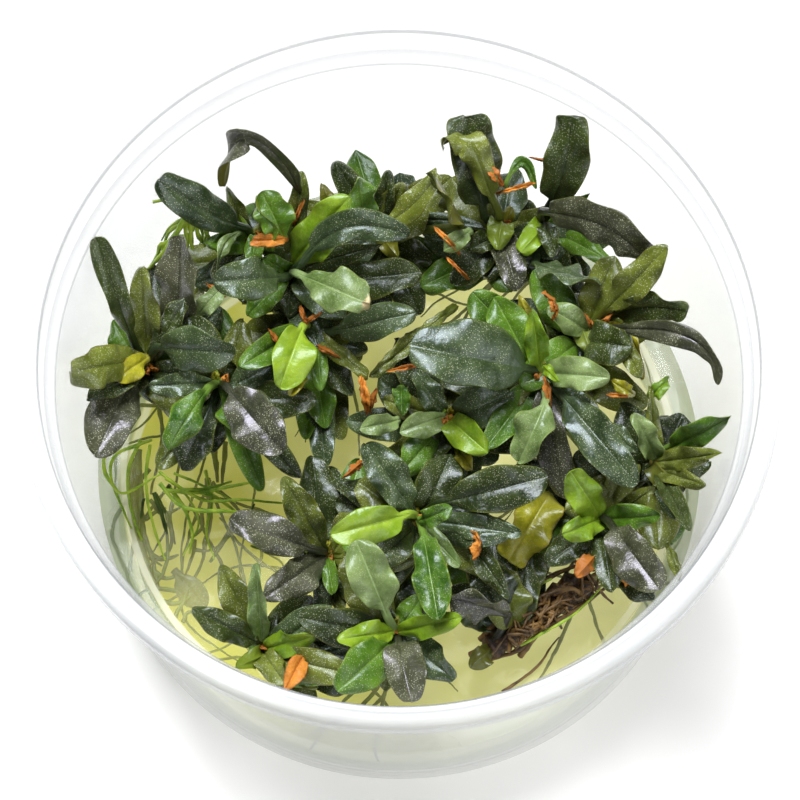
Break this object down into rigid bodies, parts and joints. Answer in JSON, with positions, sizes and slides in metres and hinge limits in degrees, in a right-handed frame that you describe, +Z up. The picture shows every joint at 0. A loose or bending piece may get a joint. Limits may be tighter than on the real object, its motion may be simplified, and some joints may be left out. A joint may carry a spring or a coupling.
{
  "type": "bucephalandra in culture cup",
  "caption": "Clump of bucephalandra aquarium plants with oval glossy leaves, growing on a disc of nutrient gel in a round translucent plastic cup.",
  "frame": {"origin": "centre of the underside of the cup, on its axis", "axes": "+Z up along the cup's axis; -Y is the side nearest to the viewer in the picture, and +X is to that viewer's right"},
  "size_m": [0.101, 0.101, 0.056],
  "materials": {
    "cup": "translucent moulded plastic, smooth",
    "gel": "wet translucent pale yellow gel",
    "leaf": "waxy dark green leaf with fine pale specks",
    "stem": "green to red-brown creeping stem with young leaves",
    "rhizome": "old dark brown fibrous rhizome",
    "root": "smooth green root",
    "husk": "dry orange sheath"
  },
  "bodies": {
    "root": {"back_left_shoot_leaf_1": "leaf", "back_left_shoot_leaf_2": "leaf", "back_left_shoot_stem": "stem", "back_right_shoot_leaf_1": "leaf", "back_right_shoot_leaf_2": "leaf", "back_right_shoot_stem": "stem", "back_shoot_leaf_1": "leaf", "back_shoot_leaf_2": "leaf", "back_shoot_leaf_3": "leaf", "back_shoot_leaf_4": "leaf", "back_shoot_leaf_5": "leaf", "back_shoot_stem": "stem", "centre_shoot_leaf_1": "leaf", "centre_shoot_leaf_2": "leaf", "centre_shoot_leaf_3": "leaf", "centre_shoot_leaf_4": "leaf", "centre_shoot_stem": "stem", "cup": "cup", "front_left_corner_shoot_stem": "stem", "front_left_shoot_leaf_1": "leaf", "front_left_shoot_stem": "stem", "front_middle_shoot_leaf_1": "leaf", "front_middle_shoot_leaf_2": "leaf", "front_middle_shoot_leaf_3": "leaf", "front_middle_shoot_stem": "stem", "front_shoot_leaf_1": "leaf", "front_shoot_leaf_2": "leaf", "front_shoot_stem": "stem", "left_middle_shoot_leaf_1": "leaf", "left_middle_shoot_leaf_2": "leaf", "left_middle_shoot_leaf_3": "leaf", "left_middle_shoot_stem": "stem", "left_shoot_leaf_1": "leaf", "left_shoot_leaf_2": "leaf", "left_shoot_leaf_3": "leaf", "left_shoot_leaf_4": "leaf", "left_shoot_leaf_5": "leaf", "left_shoot_stem": "stem", "middle_shoot_leaf_1": "leaf", "middle_shoot_leaf_2": "leaf", "middle_shoot_stem": "stem", "nutrient_gel": "gel", "old_rhizome_leaf_1": "leaf", "old_rhizome_stem": "rhizome", "rear_right_shoot_leaf_1": "leaf", "rear_right_shoot_leaf_2": "leaf", "rear_right_shoot_leaf_3": "leaf", "rear_right_shoot_stem": "stem", "right_edge_shoot_leaf_1": "leaf", "right_edge_shoot_stem": "stem", "right_front_shoot_leaf_1": "leaf", "right_front_shoot_stem": "stem", "right_shoot_leaf_1": "leaf", "right_shoot_leaf_2": "leaf", "right_shoot_leaf_3": "leaf", "right_shoot_stem": "stem", "small_middle_shoot_stem": "stem", "upper_back_shoot_leaf_1": "leaf", "upper_back_shoot_leaf_2": "leaf", "upper_back_shoot_stem": "stem"}
  },
  "joints": []
}
